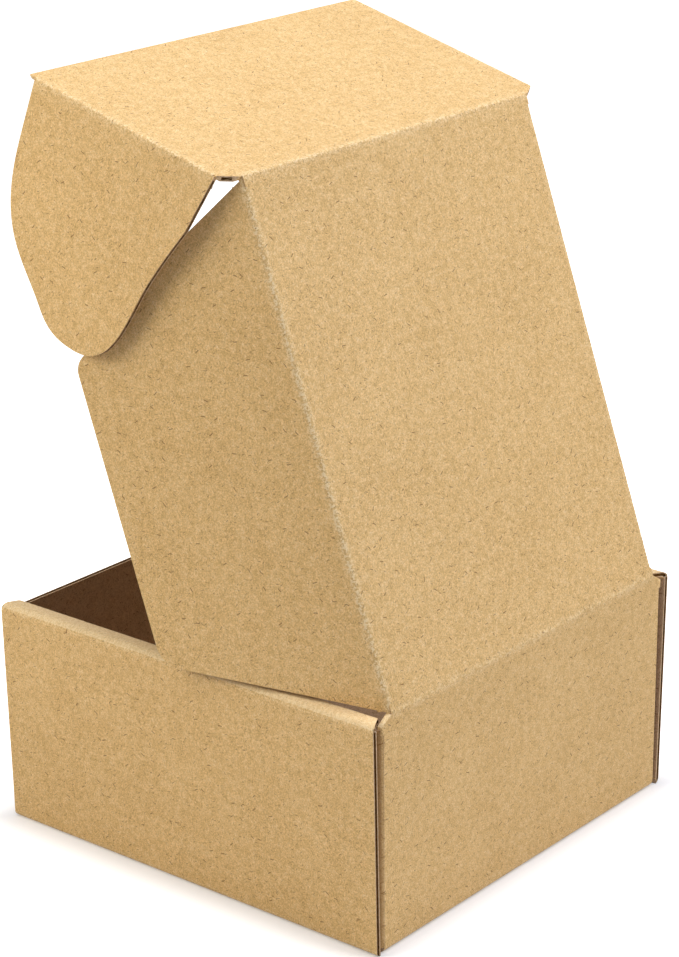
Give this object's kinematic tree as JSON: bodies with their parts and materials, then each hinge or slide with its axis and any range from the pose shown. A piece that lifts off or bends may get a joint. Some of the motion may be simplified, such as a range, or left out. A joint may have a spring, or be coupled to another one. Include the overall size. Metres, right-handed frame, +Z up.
{
  "type": "shipping box",
  "caption": "Small roll-end mailer box of folded kraft board, lid tipped open on its side flaps, with a tuck panel and rounded ears.",
  "frame": {"origin": "middle of the tray's underside", "axes": "+Z up; the lid is hinged along the +Y side, and its tuck panel hangs over the -Y side; +X and -X are the rolled side walls"},
  "size_m": [0.1172, 0.104, 0.1708],
  "materials": {
    "kraft_board": "matte"
  },
  "bodies": {
    "tray": {"tray": "kraft_board"},
    "lid": {"lid": "kraft_board"},
    "side_flap_right": {"side_flap_right": "kraft_board"},
    "side_flap_left": {"side_flap_left": "kraft_board"},
    "tuck_panel": {"tuck_panel": "kraft_board"},
    "ear_right": {"ear_right": "kraft_board"},
    "ear_left": {"ear_left": "kraft_board"}
  },
  "joints": [
    {"name": "lid_hinge", "type": "hinge", "parent": "tray", "child": "lid", "pos_m": [0, 0.052, 0.0526], "axis": [-1, 0, 0], "range_deg": [0, 110]},
    {"name": "side_flap_right_fold", "type": "hinge", "parent": "lid", "child": "side_flap_right", "pos_m": [0.04622, 0.05087, 0.0522], "axis": [0, 0.3322, -0.9432], "range_deg": [0, 73]},
    {"name": "side_flap_left_fold", "type": "hinge", "parent": "lid", "child": "side_flap_left", "pos_m": [-0.04622, 0.05087, 0.0522], "axis": [0, -0.3322, 0.9432], "range_deg": [0, 73]},
    {"name": "tuck_fold", "type": "hinge", "parent": "lid", "child": "tuck_panel", "pos_m": [0, 0.01538, 0.15659], "axis": [-1, 0, 0], "range_deg": [0, 55.3]},
    {"name": "ear_right_fold", "type": "hinge", "parent": "tuck_panel", "child": "ear_right", "pos_m": [0.0523, 0.01538, 0.15659], "axis": [0, -0.9646, 0.2639], "range_deg": [0, 82.5]},
    {"name": "ear_left_fold", "type": "hinge", "parent": "tuck_panel", "child": "ear_left", "pos_m": [-0.0523, 0.01538, 0.15659], "axis": [0, 0.9646, -0.2639], "range_deg": [0, 82.5]}
  ]
}
